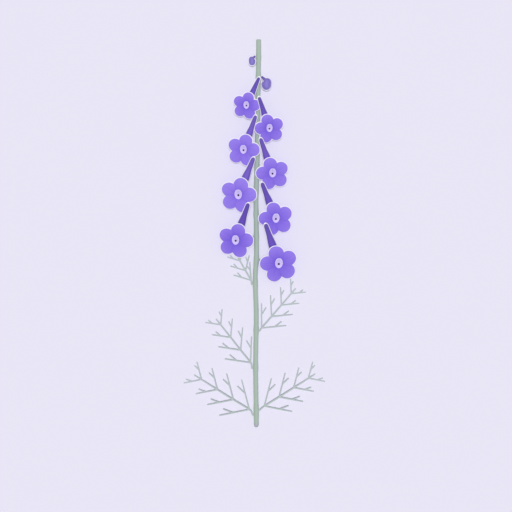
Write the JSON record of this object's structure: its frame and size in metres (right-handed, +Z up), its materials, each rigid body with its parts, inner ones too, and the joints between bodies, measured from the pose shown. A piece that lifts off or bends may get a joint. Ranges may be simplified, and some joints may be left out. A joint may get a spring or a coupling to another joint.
{
  "type": "larkspur flower spike",
  "caption": "Cut larkspur spike lying face up: slim stem, feathery leaves, closed buds and open violet flowers with long tapered spurs and pale eyes.",
  "frame": {"origin": "middle of the underside of the spike's bounding box, on the surface it lies on", "axes": "+Y from the cut end of the stem to its tip, +X to the right seen from above, +Z up, the way the flowers face"},
  "size_m": [0.1284, 0.35, 0.0181],
  "materials": {
    "stem": "matte",
    "leaf": "matte",
    "sepal": "matte",
    "spurred_sepal": "matte",
    "centre_petal": "matte",
    "bud": "matte"
  },
  "bodies": {
    "root": {"stem": "stem", "leaf_lower_left": "leaf", "leaf_lower_right": "leaf", "leaf_middle_left": "leaf", "leaf_middle_right": "leaf", "leaf_upper_left": "leaf", "bud_left": "bud", "bud_right": "bud", "flower_1_spurred_sepal": "spurred_sepal", "flower_1_inner_side_sepal": "sepal", "flower_1_inner_lower_sepal": "sepal", "flower_1_outer_lower_sepal": "sepal", "flower_1_outer_side_sepal": "sepal", "flower_1_centre_petal": "centre_petal", "flower_2_spurred_sepal": "spurred_sepal", "flower_2_inner_side_sepal": "sepal", "flower_2_inner_lower_sepal": "sepal", "flower_2_outer_lower_sepal": "sepal", "flower_2_outer_side_sepal": "sepal", "flower_2_centre_petal": "centre_petal", "flower_3_spurred_sepal": "spurred_sepal", "flower_3_inner_side_sepal": "sepal", "flower_3_inner_lower_sepal": "sepal", "flower_3_outer_lower_sepal": "sepal", "flower_3_outer_side_sepal": "sepal", "flower_3_centre_petal": "centre_petal", "flower_4_spurred_sepal": "spurred_sepal", "flower_4_inner_side_sepal": "sepal", "flower_4_inner_lower_sepal": "sepal", "flower_4_outer_lower_sepal": "sepal", "flower_4_outer_side_sepal": "sepal", "flower_4_centre_petal": "centre_petal", "flower_5_spurred_sepal": "spurred_sepal", "flower_5_inner_side_sepal": "sepal", "flower_5_inner_lower_sepal": "sepal", "flower_5_outer_lower_sepal": "sepal", "flower_5_outer_side_sepal": "sepal", "flower_5_centre_petal": "centre_petal", "flower_6_spurred_sepal": "spurred_sepal", "flower_6_inner_side_sepal": "sepal", "flower_6_inner_lower_sepal": "sepal", "flower_6_outer_lower_sepal": "sepal", "flower_6_outer_side_sepal": "sepal", "flower_6_centre_petal": "centre_petal", "flower_7_spurred_sepal": "spurred_sepal", "flower_7_inner_side_sepal": "sepal", "flower_7_inner_lower_sepal": "sepal", "flower_7_outer_lower_sepal": "sepal", "flower_7_outer_side_sepal": "sepal", "flower_7_centre_petal": "centre_petal", "flower_8_spurred_sepal": "spurred_sepal", "flower_8_inner_side_sepal": "sepal", "flower_8_inner_lower_sepal": "sepal", "flower_8_outer_lower_sepal": "sepal", "flower_8_outer_side_sepal": "sepal", "flower_8_centre_petal": "centre_petal"}
  },
  "joints": []
}
